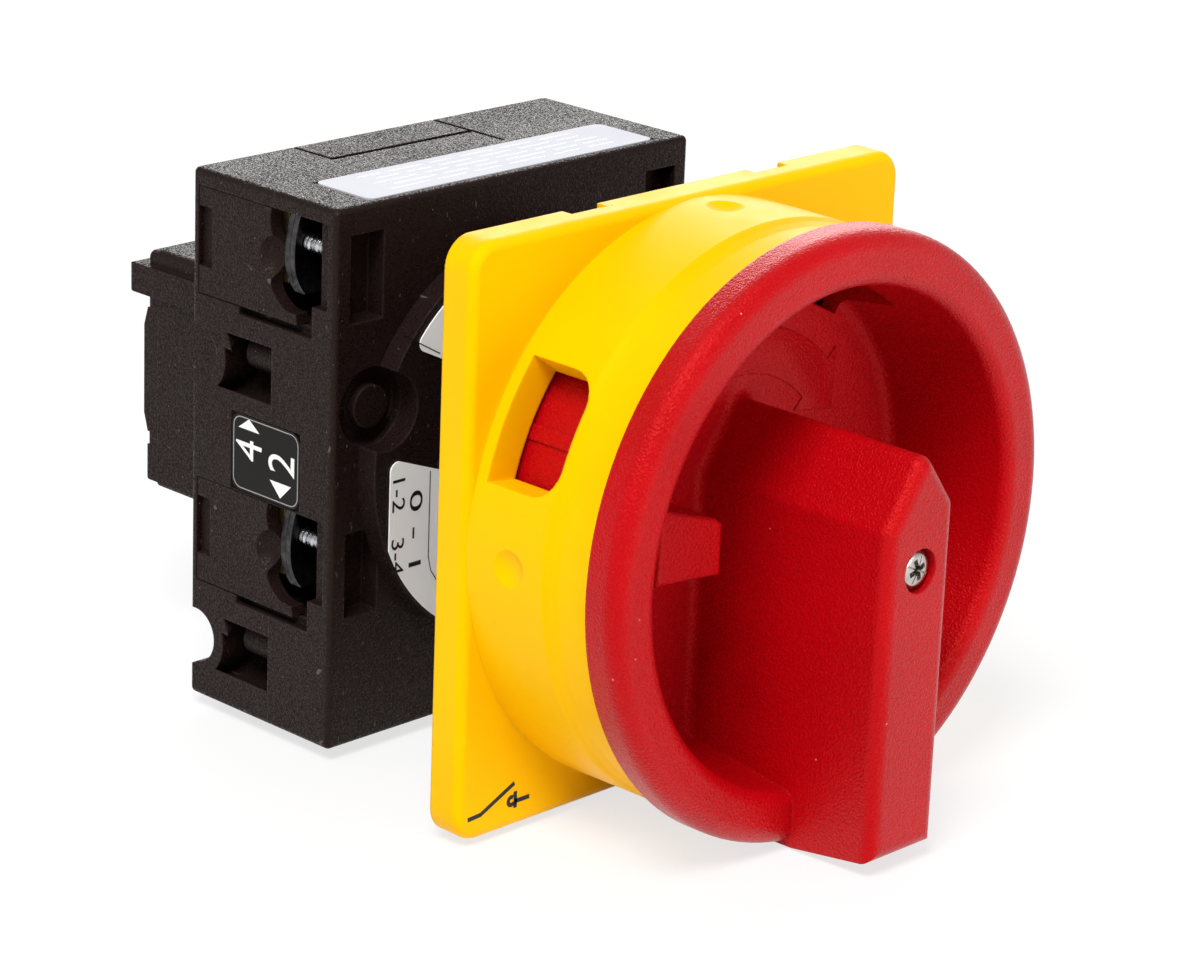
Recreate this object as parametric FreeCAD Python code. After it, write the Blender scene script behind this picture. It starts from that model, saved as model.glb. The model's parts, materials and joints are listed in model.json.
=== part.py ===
import FreeCAD, Part
import os
import math

V = FreeCAD.Vector
os.makedirs("parts", exist_ok=True)

# All sizes are in millimetres. X is right, Y is back, Z is up.
# The switch shaft runs along Y through X = 0, Z = 0, and the back of the
# yellow front plate is the plane Y = 0.

# front plate and collar
plate_size = 60.0
plate_thickness = 3.8
plate_corner = 3.0
plate_edge = 1.0
collar_wall = 3.7
collar_front = 19.7
collar_step = 13.6
window_rear = 5.2
window_front = 13.8
window_angle = 27.0
window_width = 10.6
dimple_radius = 2.0

# handle
ring_overhang = 0.8
ring_front = 24.3
ring_width = 5.5
ring_edge = 2.0
ring_inner_edge = 1.5
dish_floor = 10.1
floor_thickness = 2.0
skirt_gap = 0.6
grip_width = 9.4
grip_front = 34.3
grip_top = 12.0
grip_shoulder_left = 4.4
grip_shoulder_right = 6.0
grip_edge = 1.4
grip_root = 1.0
lock_travel = 4.0
lock_gap = 0.15
lock_grip = 5.7

# handle screw
screw_head_radius = 2.1
screw_head_height = 1.6
screw_recess = 0.3
screw_shank_radius = 1.25
screw_length = 9.0

# shaft and drive
shaft_square = 6.0
shaft_rear = 55.5
sleeve_radius = 5.0
running_gap = 0.05
square_gap = 0.03

# panel flange and neck behind the plate
panel_gap = 2.5
flange_size = 44.0
flange_thickness = 3.0
flange_hole_radius = 2.2
flange_hole_spacing = 30.0
spigot_radius = 10.5
neck_radius = 11.5
base_radius = 21.3
base_front = 18.2
pocket_radius = 4.1
pocket_x = 19.8
pocket_level = 6.4
boss_radius = 2.2

# contact housing
box_width = 49.4
box_height = 56.4
box_front = 20.7
box_depth = 21.5
box_seam = 9.3
box_drop = 1.0
box_edge = 0.6
wall = 2.4

# terminals
terminal_x = 21.6
terminal_pitch = 30.7
terminal_top = 22.0
terminal_above = 3.5
terminal_below = 8.0
terminal_depth = 8.0
terminal_screw_radius = 1.0
terminal_head_radius = 2.0
terminal_head_height = 2.4
head_gap = 0.3
clamp_thickness = 0.7
cover_thickness = 1.6
slot_depth = 0.6
column_radius = 1.8
notch_drop = 13.9
notch_radius = 2.9

# contacts
contact_travel = 2.0
cam_high = 8.0
cam_gap = 0.15
cam_front = 27.2
cam_rear = 34.8
chamber_radius = 10.6
chamber_low = 24.8
bar_thickness = 1.0
tip_thickness = 0.7
tip_radius = 1.5
tip_x = 8.3
tip_level = 12.6
contact_gap = 0.05
bridge_half = 11.5

# rear block
rear_width = 31.0
rear_height = 26.4
rear_depth = 16.5
rear_cap = 2.2
rear_edge = 0.9
tie_x = 12.4
tie_shank_radius = 1.3
tie_hole_radius = 1.6
post_radius = 2.6
tie_head_radius = 2.3
tie_head_height = 1.5

# derived sizes
half_plate = plate_size / 2.0
collar_radius = half_plate - 0.3
collar_bore = collar_radius - collar_wall
ring_radius = collar_radius + ring_overhang
skirt_radius = collar_bore - skirt_gap
ring_bore = ring_radius - ring_width
box_rear = box_front + box_depth
seam_y = box_front + box_seam
box_top = box_height / 2.0 - box_drop
box_bottom = -box_height / 2.0 - box_drop
half_box = box_width / 2.0
half_square = shaft_square / 2.0
terminal_levels = [terminal_top, terminal_top - terminal_pitch]
bar_front = seam_y - 0.4
contact_y = seam_y + 0.9


def block(x0, x1, y0, y1, z0, z1):
    return Part.makeBox(x1 - x0, y1 - y0, z1 - z0, V(x0, y0, z0))


def rod_y(radius, y0, y1, x=0.0, z=0.0):
    return Part.makeCylinder(radius, y1 - y0, V(x, y0, z), V(0, 1, 0))


def rod_z(radius, z0, z1, x=0.0, y=0.0):
    return Part.makeCylinder(radius, z1 - z0, V(x, y, z0), V(0, 0, 1))


def rod_x(radius, x0, x1, y=0.0, z=0.0):
    return Part.makeCylinder(radius, x1 - x0, V(x0, y, z), V(1, 0, 0))


def prism_y(points, y0, y1):
    corners = [V(x, y0, z) for x, z in points]
    face = Part.Face(Part.makePolygon(corners + [corners[0]]))
    return face.extrude(V(0, y1 - y0, 0))


def prism_x(points, x0, x1):
    corners = [V(x0, y, z) for y, z in points]
    face = Part.Face(Part.makePolygon(corners + [corners[0]]))
    return face.extrude(V(x1 - x0, 0, 0))


def spline_x(points, x):
    # a smooth curve through (Y, Z) points on the plane at x
    curve = Part.BSplineCurve()
    curve.interpolate([V(x, y, z) for y, z in points])
    return curve.toShape()


def turned(points):
    corners = [V(r, y, 0) for r, y in points]
    face = Part.Face(Part.makePolygon(corners + [corners[0]]))
    return face.revolve(V(0, 0, 0), V(0, 1, 0), 360)


def arc(centre_r, centre_y, radius, start, end, steps=8):
    # points of a circular arc in the (radius, Y) plane
    points = []
    for i in range(steps + 1):
        angle = math.radians(start + (end - start) * i / steps)
        points.append((centre_r + radius * math.cos(angle), centre_y + radius * math.sin(angle)))
    return points


def rounded_y(width, height, y0, y1, radius, z=0.0):
    solid = block(-width / 2, width / 2, y0, y1, z - height / 2, z + height / 2)
    edges = [e for e in solid.Edges if abs(e.tangentAt(e.FirstParameter).y) > 0.99]
    return solid.makeFillet(radius, edges)


def joined(shapes):
    result = shapes[0].multiFuse(shapes[1:])
    return result.removeSplitter()


def mirrored(shape):
    return shape.mirror(V(0, 0, 0), V(1, 0, 0))


def save(name, shape):
    shape.exportStep("parts/" + name + ".step")


def group(shapes):
    return Part.makeCompound(shapes)


def turned_about_shaft(shape, degrees):
    turned_shape = shape.copy()
    turned_shape.rotate(V(0, 0, 0), V(0, 1, 0), degrees)
    return turned_shape


# ---- yellow front plate with its locking collar --------------------------------
slab = rounded_y(plate_size, plate_size, -plate_thickness, 0.0, plate_corner)
front_edges = [e for e in slab.Edges if abs(e.CenterOfMass.y + plate_thickness) < 1e-6]
slab = slab.makeFillet(plate_edge, front_edges)

tube_profile = [(collar_bore, -plate_thickness + 0.5), (collar_radius, -plate_thickness + 0.5)]
tube_profile += [(collar_radius - 0.1, -collar_step), (collar_radius - 0.45, -collar_step - 0.7)]
tube_profile += [(collar_radius - 0.75, -collar_step - 1.6), (collar_radius - 1.0, -collar_front)]
tube_profile += [(collar_bore, -collar_front)]
collar = turned(tube_profile)

plate = joined([slab, collar])
plate = plate.cut(rod_y(sleeve_radius + 0.4, -plate_thickness - 1, 1))
plate = plate.cut(rod_y(spigot_radius + 0.05, -plate_thickness + 1.6, 1))


def window_wire(distance, low, high, radius_front):
    # outline of the padlock window at one distance from the shaft, with round front corners
    y_rear = -window_rear
    y_front = -window_front
    points = [V(-distance, y_rear, low), V(-distance, y_rear, high)]
    for i in range(7):
        a = math.radians(90.0 * i / 6)
        z = high - radius_front + radius_front * math.cos(a)
        points.append(V(-distance, y_front + radius_front - radius_front * math.sin(a), z))
    for i in range(7):
        a = math.radians(90.0 * i / 6)
        z = low + radius_front - radius_front * math.sin(a)
        points.append(V(-distance, y_front + radius_front - radius_front * math.cos(a), z))
    return Part.makePolygon(points + [points[0]])


outer_wire = window_wire(collar_radius + 2.0, -window_width / 2 - 2.1, window_width / 2 + 1.2, 3.2)
inner_wire = window_wire(collar_bore - 2.0, -window_width / 2 + 0.5, window_width / 2, 3.2)
window = Part.makeLoft([outer_wire, inner_wire], True, True)
window = turned_about_shaft(window, window_angle)
plate = plate.cut(window)
plate = plate.cut(mirrored(window))

dimple_centre = collar_radius + 2.6
for angle, dimple_y in ((0.0, -9.3), (90.0, -7.4), (180.0, -9.3), (270.0, -7.4)):
    ball = Part.makeSphere(math.hypot(2.6, dimple_radius), V(-dimple_centre, dimple_y, 0))
    plate = plate.cut(turned_about_shaft(ball, angle))

for x in (-12.4, 13.2):
    notch = [(x - 2.7, half_plate + 1), (x - 1.6, half_plate - 3.0)]
    notch += [(x + 2.3, half_plate - 3.0), (x + 2.3, half_plate + 1)]
    plate = plate.cut(prism_y(notch, -1.3, 0.5))

hole_half = flange_hole_spacing / 2.0
for x in (-hole_half, hole_half):
    for z in (-hole_half, hole_half):
        plate = plate.cut(rod_y(flange_hole_radius, -plate_thickness - 1, 1, x, z))
save("front_plate", plate)

# ---- panel flange, neck and round base behind the plate -----------------------
flange_front = panel_gap
flange_rear = panel_gap + flange_thickness
flange = rounded_y(flange_size, flange_size, flange_front, flange_rear, 3.0)
flange = joined([flange, rod_y(spigot_radius, -plate_thickness + 1.6, flange_front + 0.5)])
flange = flange.cut(rod_y(sleeve_radius + running_gap, -plate_thickness, flange_rear + 1))
for x in (-hole_half, hole_half):
    for z in (-hole_half, hole_half):
        flange = flange.cut(rod_y(flange_hole_radius, flange_front - 1, flange_rear + 1, x, z))
save("panel_flange", flange)

neck = rod_y(neck_radius, flange_rear, base_front)
for angle in range(0, 360, 45):
    rib = block(neck_radius - 0.5, neck_radius + 2.2, flange_rear, flange_rear + 7.0, -0.8, 0.8)
    neck = neck.fuse(turned_about_shaft(rib, angle))
neck = neck.removeSplitter()
neck = neck.cut(rod_y(sleeve_radius + 0.4, flange_rear - 1, base_front + 1))
save("neck", neck)

base = rod_y(base_radius, base_front, box_front)
for side in (-1, 1):
    base = base.cut(rod_y(pocket_radius, base_front - 1, box_front + 1, side * pocket_x, pocket_level))
base = base.cut(rod_y(sleeve_radius + running_gap, base_front - 1, box_front + 1))
for side in (-1, 1):
    base = base.cut(rod_y(tie_shank_radius + 0.02, base_front + 0.6, box_front + 1, side * tie_x, 0))
base = base.removeSplitter()
save("round_base", base)

# ---- contact housing, front and rear shells -----------------------------------
front_shell = block(-half_box, half_box, box_front, seam_y, box_bottom, box_top)


def outer_edges(solid, end_y):
    # the edges round one end of a shell and the long edges of its sides
    edges = []
    for e in solid.Edges:
        middle = e.CenterOfMass
        on_side = abs(middle.y - seam_y) > 1 and abs(abs(middle.x) - half_box) < 1e-6
        if abs(middle.y - end_y) < 1e-6 or on_side:
            edges.append(e)
    return edges


front_shell = front_shell.makeFillet(box_edge, outer_edges(front_shell, box_front))
rear_shell = block(-half_box, half_box, seam_y, box_rear, box_bottom, box_top)
rear_shell = rear_shell.makeFillet(box_edge, outer_edges(rear_shell, box_rear))

channel_x = half_box - terminal_depth - 1.5
voids = [rod_y(chamber_radius, box_front + 3.3, box_rear - 3.6)]
voids.append(block(-channel_x, channel_x, cam_front - 0.7, cam_rear + 0.7, 3.2, box_top - wall))
voids.append(block(-channel_x, channel_x, cam_front - 0.7, cam_rear + 0.7, -chamber_low, -3.2))
voids.append(rod_y(sleeve_radius + running_gap, box_front - 1, box_front + 4))
voids.append(rod_y(half_square * math.sqrt(2) + 0.2, box_rear - 4, box_rear + 1))
for side in (-1, 1):
    voids.append(rod_y(tie_hole_radius, box_front - 1, box_rear + 1, side * tie_x, 0))


def terminal_space(level):
    # the open space of one terminal on the left side
    low = level - terminal_below
    high = level + terminal_above
    inner = -half_box + terminal_depth
    main = block(-half_box - 1, inner, box_front + 3.4, box_rear - 0.9, low + 0.2, high)
    step = block(-half_box - 1, -half_box + 1.2, box_front + 3.4, seam_y + 5.0, low - 0.6, low + 3.0)
    mouth = block(-half_box - 1, -half_box + 1.2, box_front + 1.2, box_front + 4, low + 2.7, high)
    tip = rod_y(terminal_screw_radius + 0.3, box_front + 2.8, box_front + 4, -terminal_x, level)
    driver = rod_y(terminal_head_radius + head_gap, box_rear - 1.5, box_rear + 1, -terminal_x, level)
    return joined([main, step, mouth, tip, driver])


def side_notch(level):
    # the half round notch at the rear edge, with the deeper recess in front of it
    centre = level - notch_drop
    scoop_y = box_rear - 0.9
    scoop = rod_x(notch_radius, -half_box - 1, -half_box + 6.5, scoop_y, centre)
    flare = [(scoop_y - 1.9, centre - 2.1), (box_rear + 1, centre - 4.0)]
    flare += [(box_rear + 1, centre + notch_radius - 0.2), (scoop_y, centre + notch_radius)]
    scoop = scoop.fuse(prism_x(flare, -half_box - 1, -half_box + 6.5))
    recess = block(-half_box - 1, -half_box + 5.0, seam_y, box_rear - 4.0, centre - 1.4, centre + 3.0)
    recess = recess.cut(rod_x(notch_radius + 2.4, -half_box - 2, -half_box + 9, scoop_y, centre))
    channel = rod_y(3.2, seam_y, box_rear - 3.0, -half_box + 2.4, centre - 0.8)
    channel = channel.cut(rod_x(notch_radius + 1.4, -half_box - 2, -half_box + 9, scoop_y, centre))
    return joined([scoop, recess, channel])


for level in terminal_levels:
    space = terminal_space(level)
    voids += [space, mirrored(space)]
    bar_slot = block(
        -half_box + 7, -channel_x + 1,
        bar_front - 0.15, bar_front + bar_thickness + 0.15,
        level - 4.6, level - 0.6)
    voids += [bar_slot, mirrored(bar_slot)]

rear_only = []
for level in terminal_levels:
    notch = side_notch(level)
    rear_only += [notch, mirrored(notch)]

front_only = []
for level in terminal_levels:
    pocket = block(-half_box + 1.9, -half_box + 6.3, box_front - 1, box_front + 2.3, level - 6.7, level + 2.3)
    front_only += [pocket, mirrored(pocket)]

for side in (-1, 1):
    pocket = rod_y(pocket_radius, box_front - 1, box_front + 1.3, side * pocket_x, pocket_level)
    boss = rod_y(boss_radius, box_front - 2, box_front + 2, side * pocket_x, pocket_level)
    front_only.append(pocket.cut(boss))

front_shell = front_shell.cut(voids + front_only)
rear_shell = rear_shell.cut(voids + rear_only)

for groove in ((-12.0, 8.0, box_rear - 6.7, box_rear - 6.0), (-12.0, -11.5, box_rear - 6.7, box_rear + 1),
               (7.5, 8.0, seam_y + 1.0, box_rear + 1)):
    rear_shell = rear_shell.cut(block(*groove, box_top - 0.7, box_top + 1))
label_bed = block(-half_box + 5.0, half_box - 4.0, box_front + 0.9, seam_y + 0.2, box_top - 0.1, box_top + 1)
front_shell = front_shell.cut(label_bed)

label_low = -5.1
label_high = 3.2
label_bed = block(-half_box - 1, -half_box + 0.3, seam_y - 4.5, seam_y + 6.0, label_low, label_high)
front_shell = front_shell.cut([label_bed, mirrored(label_bed)])
rear_shell = rear_shell.cut([label_bed, mirrored(label_bed)])

for level in terminal_levels:
    centre = level - notch_drop
    column = rod_y(column_radius, seam_y - 1.0, seam_y + 5.0, -half_box + 2.9, centre + 1.0)
    front_shell = front_shell.fuse([column, mirrored(column)])
front_shell = front_shell.removeSplitter()
rear_shell = rear_shell.removeSplitter()
save("front_shell", front_shell)
save("rear_shell", rear_shell)

# ---- terminals ------------------------------------------------------------------
terminal_covers = []
clamp_plates = []
terminal_screws = []
head_front = box_rear - 5.0
for level in terminal_levels:
    low = level - terminal_below + 0.3
    high = level + terminal_above - 0.1
    rear = box_rear - 1.0
    wave = [(0.3, terminal_above - 0.1), (0.3, 1.0), (-0.5, -1.6), (0.3, -4.4), (-0.7, -5.9), (-3.4, -6.6)]
    wave_edge = spline_x([(seam_y + y, level + z) for y, z in wave], -half_box + 0.05)
    corners = [wave_edge.lastVertex().Point, V(-half_box + 0.05, seam_y - 3.6, low)]
    corners += [V(-half_box + 0.05, rear, low), V(-half_box + 0.05, rear, high)]
    corners.append(wave_edge.firstVertex().Point)
    outline = Part.Wire([wave_edge] + Part.makePolygon(corners).Edges)
    cover = Part.Face(outline).extrude(V(cover_thickness, 0, 0))
    scoop = Part.makeSphere(2.6, V(-half_box - 1.2, seam_y - 0.3, level - 1.6))
    slot = block(-half_box - 1, -half_box + slot_depth, rear - 2.0, rear + 1, level - 4.8, level + 1.4)
    relief = rod_y(terminal_head_radius + head_gap, head_front - head_gap, box_rear, -terminal_x, level)
    cover = cover.cut([scoop, slot, relief])
    foot = block(-half_box + 0.8, -half_box + terminal_depth, seam_y + 2.6, seam_y + 5.0, low, level - 3.4)
    cover = cover.fuse(foot).removeSplitter()
    terminal_covers += [cover, mirrored(cover)]

    # two bent plates lie on the contact bar, the screw passes through both
    plates = []
    bend = [(-0.9, 3.3), (-0.2, 0.9), (0.0, -1.0), (-0.1, -2.6), (-0.6, -3.8), (-1.6, -4.8)]
    for k in range(2):
        back = bar_front - 0.05 - k * (clamp_thickness + 0.05)
        rear_edge_line = spline_x([(back + y, level + z) for y, z in bend], -half_box + 1.2)
        bent_plate = rear_edge_line.extrude(V(0, -clamp_thickness, 0)).extrude(V(terminal_depth - 2.2, 0, 0))
        hole = rod_y(terminal_screw_radius + 0.03, back - 4, back + 2, -terminal_x, level)
        plates.append(bent_plate.cut(hole))
    clamp_plates += plates
    clamp_plates += [mirrored(p) for p in plates]

    head_rear = head_front + terminal_head_height
    shank = rod_y(terminal_screw_radius, box_front + 3.0, head_front, -terminal_x, level)
    head = rod_y(terminal_head_radius, head_front, head_rear, -terminal_x, level)
    slot = block(-terminal_x - 1.5, -terminal_x + 1.5, head_rear - 0.9, box_rear, level - 0.3, level + 0.3)
    cross = block(-terminal_x - 0.3, -terminal_x + 0.3, head_rear - 0.9, box_rear, level - 1.5, level + 1.5)
    screw = shank.fuse(head).cut([slot, cross]).removeSplitter()
    terminal_screws += [screw, mirrored(screw)]

for i, cover in enumerate(terminal_covers):
    save("terminal_cover_%d" % (i + 1), cover)
save("clamp_plates", group(clamp_plates))
save("terminal_screws", group(terminal_screws))

# fixed contact bars, from each terminal to the contact points beside the cam
bars = []
for index, level in enumerate(terminal_levels):
    sign = 1 if index == 0 else -1
    tip_low = sign * tip_level
    y0 = bar_front
    y1 = y0 + bar_thickness
    strap = block(-half_box + 1.75, -channel_x + 1.6, y0, y1, level - 4.4, level - 0.8)
    pad = block(-half_box + 1.75, -half_box + terminal_depth - 0.6, y0, y1, level - 4.4, level + 3.2)
    z_far = sign * (tip_level + 0.5)
    upright_low = min(z_far - 0.5, level - 4.4)
    upright_high = max(z_far + 0.5, level - 0.8)
    upright = block(-channel_x + 0.2, -channel_x + 1.6, y0, y1, upright_low, upright_high)
    shelf_low = min(tip_low, tip_low + sign * bar_thickness)
    shelf = block(
        -channel_x + 0.2, -5.2,
        contact_y - 2.2, contact_y + 2.2,
        shelf_low, shelf_low + bar_thickness)
    tip_high = tip_low + sign * bar_thickness
    tip_box_low = min(tip_high, tip_high + sign * tip_thickness)
    tip = rod_z(tip_radius, tip_box_low, tip_box_low + tip_thickness, -tip_x, contact_y)
    bar = joined([strap, pad, upright, shelf, tip])
    bar = bar.cut(rod_y(terminal_screw_radius + 0.02, y0 - 1, y1 + 1, -terminal_x, level))
    bars += [bar, mirrored(bar)]
for i, bar in enumerate(bars):
    save("fixed_contact_%d" % (i + 1), bar)

# ---- moving contacts: bridge, plunger and spring of each pole --------------------
cam_low = cam_high - contact_travel
bridge_start = tip_level + bar_thickness + tip_thickness + contact_gap
for name, sign in (("a", 1), ("b", -1)):
    z0 = sign * bridge_start
    tips = []
    z1 = z0 + sign * tip_thickness
    for x in (-tip_x, tip_x):
        tips.append(rod_z(tip_radius, min(z0, z1), max(z0, z1), x, contact_y))
    z2 = z1 + sign * 1.2
    bar = block(-bridge_half, bridge_half, contact_y - 2.0, contact_y + 2.0, min(z1, z2), max(z1, z2))
    bridge = joined([bar] + tips)
    save("bridge_" + name, bridge)

    foot_z = sign * (cam_low + cam_gap)
    plunger = block(-1.6, 1.6, contact_y - 2.0, contact_y + 2.0, min(foot_z, z1), max(foot_z, z1))
    guide_low = sign * (tip_level - 1.2)
    guide = block(-4.4, 4.4, contact_y - 3.0, contact_y + 3.0, min(guide_low, z1), max(guide_low, z1))
    plunger = joined([plunger, guide])
    save("plunger_" + name, plunger)

    top = box_top - wall if sign > 0 else chamber_low
    spring_length = top - abs(z2)
    turns = 5
    wire = 0.35
    pitch = (spring_length - 2 * wire) / turns
    helix = Part.makeHelix(pitch, spring_length - 2 * wire, 1.9)
    circle = Part.Wire([Part.makeCircle(wire, V(1.9, 0, 0), V(0, 1, 0))])
    coil = Part.Wire(helix.Edges).makePipeShell([circle], True, True)
    if sign > 0:
        coil.translate(V(0, contact_y, abs(z2) + wire))
    else:
        coil.translate(V(0, contact_y, -top + wire))
    save("contact_spring_" + name, coil)

# ---- shaft, sleeve and cam --------------------------------------------------------
shaft_front = -grip_front + 10.5
shaft = block(-half_square, half_square, shaft_front, shaft_rear, -half_square, half_square)
long_edges = [e for e in shaft.Edges if abs(e.tangentAt(e.FirstParameter).y) > 0.99]
shaft = shaft.makeFillet(0.4, long_edges)
shaft = shaft.cut(rod_y(screw_shank_radius + 0.02, shaft_front - 1, shaft_front + 8))
save("shaft", shaft)

drive_hole = block(
    -half_square - square_gap, half_square + square_gap,
    -60.0, 100.0,
    -half_square - square_gap, half_square + square_gap)
sleeve = rod_y(sleeve_radius, -plate_thickness, cam_front - 0.3).cut(drive_hole)
save("drive_sleeve", sleeve)


def cam_radius(angle):
    # the handle turns 90 degrees; the radius under each plunger grows by the travel
    part = (angle % 180.0) / 90.0
    if part > 1.0:
        part = max(0.0, 1.0 - (part - 1.0) * 90.0 / 40.0)
    return cam_low + contact_travel * part


def cam_point(degrees):
    # degrees counted from +Z towards +X
    radius = cam_radius(degrees)
    a = math.radians(degrees)
    return (radius * math.sin(a), radius * math.cos(a))


cam_outline = [cam_point(5.0 * i) for i in range(72)]
cam = prism_y(cam_outline, cam_front, cam_rear)
cam = cam.fuse(rod_y(sleeve_radius + 0.4, cam_rear - 0.1, box_rear - 3.9)).removeSplitter()
cam = cam.cut(drive_hole)
save("cam", cam)

# ---- rear block -------------------------------------------------------------------
half_rear = rear_width / 2.0
rear_end = box_rear + rear_depth
rear_body = block(-half_rear, half_rear, box_rear, rear_end, -rear_height / 2, rear_height / 2)
long_edges = [e for e in rear_body.Edges if abs(e.tangentAt(e.FirstParameter).y) > 0.99]
rear_body = rear_body.makeFillet(0.8, long_edges)
hollow = block(
    -half_rear + wall, half_rear - wall,
    box_rear + 2.4, rear_end + 1,
    -rear_height / 2 + wall, rear_height / 2 - wall)
rear_body = rear_body.cut(hollow)
posts = []
for side in (-1, 1):
    posts.append(rod_y(post_radius, box_rear, rear_end, side * tie_x, 0))
rear_body = rear_body.fuse(posts)
ledge_high = rear_height / 2 - 1.9
ledge_low = ledge_high - 3.2
ledges = [block(-half_rear - 0.7, -half_rear + 0.5, box_rear + 2.0, rear_end, ledge_low, ledge_high)]
ledges.append(mirrored(ledges[0]))
rear_body = rear_body.fuse(ledges)
side_slot = block(-half_rear - 1, -half_rear + 1.0, box_rear + 1.0, box_rear + 7.0, -1.2, 0.6)
cuts = [side_slot, mirrored(side_slot)]
cuts.append(rod_y(half_square * math.sqrt(2) + 0.2, box_rear - 1, box_rear + 4))
for side in (-1, 1):
    cuts.append(rod_y(tie_hole_radius, box_rear - 1, rear_end + 1, side * tie_x, 0))
rear_body = rear_body.cut(cuts).removeSplitter()
save("rear_body", rear_body)

cap_end = rear_end + rear_cap
cap_face = cap_end - 0.6
cap = rounded_y(rear_width, rear_height - 0.6, rear_end, cap_face, 0.8)
middle_profile = [(rear_end, -7.2), (cap_face, -7.2), (cap_end, -5.2)]
middle_profile += [(cap_end, 4.6), (cap_face, 6.6), (rear_end, 6.6)]
middle = prism_x(middle_profile, -half_rear, half_rear)
foot = block(-half_rear, half_rear, rear_end, cap_end, -rear_height / 2 + 0.6, -8.6)
lip = block(-half_rear - 0.7, half_rear + 0.7, rear_end, cap_end + 1.9, ledge_low, ledge_high)
lip_edges = [e for e in lip.Edges if abs(e.CenterOfMass.y - cap_end - 1.9) < 1e-6]
lip = lip.makeFillet(rear_edge, lip_edges)
cap_edges = [e for e in cap.Edges if abs(e.CenterOfMass.y - cap_face) < 1e-6]
cap = cap.makeFillet(0.5, cap_edges)
foot_edges = [e for e in foot.Edges if abs(e.CenterOfMass.y - cap_end) < 1e-6]
foot = foot.makeFillet(rear_edge, foot_edges)
cap = joined([cap, middle, foot, lip])
bearing = rod_y(8.0, rear_end - 5.6, rear_end + 0.5)
cap = cap.fuse(bearing)
cap = cap.cut(rod_y(half_square * math.sqrt(2) + 0.1, rear_end - 6, rear_end))
for side in (-1, 1):
    cap = cap.cut(rod_y(tie_hole_radius, rear_end - 1, cap_end + 2, side * tie_x, 0))
    cap = cap.cut(rod_y(tie_head_radius + 0.1, cap_end - tie_head_height, cap_end + 2, side * tie_x, 0))
cap = cap.removeSplitter()
save("rear_cap", cap)

tie_screws = []
for side in (-1, 1):
    head_front = cap_end - tie_head_height
    head_rear = cap_end - 0.1
    shank = rod_y(tie_shank_radius, base_front + 0.7, head_front, side * tie_x, 0)
    head = rod_y(tie_head_radius, head_front, head_rear, side * tie_x, 0)
    slot = block(side * tie_x - 1.6, side * tie_x + 1.6, head_rear - 0.9, cap_end, -0.35, 0.35)
    cross = block(side * tie_x - 0.35, side * tie_x + 0.35, head_rear - 0.9, cap_end, -1.6, 1.6)
    tie_screws.append(shank.fuse(head).cut([slot, cross]).removeSplitter())
save("tie_screws", group(tie_screws))

# ---- labels -----------------------------------------------------------------------
side_label = block(
    -half_box + 0.3 - 0.25, -half_box + 0.3,
    seam_y - 4.4, seam_y + 5.9,
    label_low + 0.1, label_high - 0.1)
corner_edges = [e for e in side_label.Edges if abs(e.tangentAt(e.FirstParameter).x) > 0.99]
side_label = side_label.makeFillet(1.3, corner_edges)
save("side_label_left", side_label)
save("side_label_right", mirrored(side_label))

top_label = block(
    -half_box + 5.2, half_box - 4.2,
    box_front + 1.0, seam_y - 0.1,
    box_top - 0.1, box_top + 0.08)
corner_edges = [e for e in top_label.Edges if abs(e.tangentAt(e.FirstParameter).z) > 0.99]
top_label = top_label.makeFillet(1.0, corner_edges)
save("top_label", top_label)

hole = rod_y(neck_radius + 1.0, base_front - 1, base_front + 1)
upper_outline = [(-25, 16.5), (0, 4.5), (25, 16.5), (25, 30), (-25, 30)]
lower_outline = [(-19.3, 1.4), (0, -5.7), (19.3, 1.4), (19.3, -30), (-19.3, -30)]
label_pieces = []
for radius, outline in ((base_radius - 0.9, upper_outline), (base_radius - 0.3, lower_outline)):
    ring = rod_y(radius, base_front - 0.15, base_front).cut(hole)
    piece = ring.common(prism_y(outline, base_front - 1, base_front + 1))
    corner_edges = []
    for e in piece.Edges:
        middle = e.CenterOfMass
        if abs(e.tangentAt(e.FirstParameter).y) > 0.99 and abs(middle.x) > 15 and middle.z > -5:
            corner_edges.append(e)
    label_pieces.append(piece.makeFillet(1.0, corner_edges))
save("round_label", group(label_pieces))

# ---- handle -----------------------------------------------------------------------
rim_rear = collar_front + 0.5
profile = [(0.0, -dish_floor)]
profile += arc(ring_bore - 2.6, -dish_floor - 1.2, 1.2, 90.0, 0.0, 4)
profile += arc(ring_bore + ring_inner_edge, -ring_front + ring_inner_edge, ring_inner_edge, 190.0, 270.0, 8)
profile += arc(ring_radius - ring_edge, -ring_front + ring_edge, ring_edge, 270.0, 360.0, 10)
profile += [(ring_radius, -rim_rear), (skirt_radius, -rim_rear)]
profile += [(skirt_radius, -plate_thickness - 0.7), (skirt_radius - 1.5, -plate_thickness - 0.7)]
profile += [(skirt_radius - 1.5, -dish_floor + floor_thickness), (0.0, -dish_floor + floor_thickness)]
cup = turned(profile)

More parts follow.
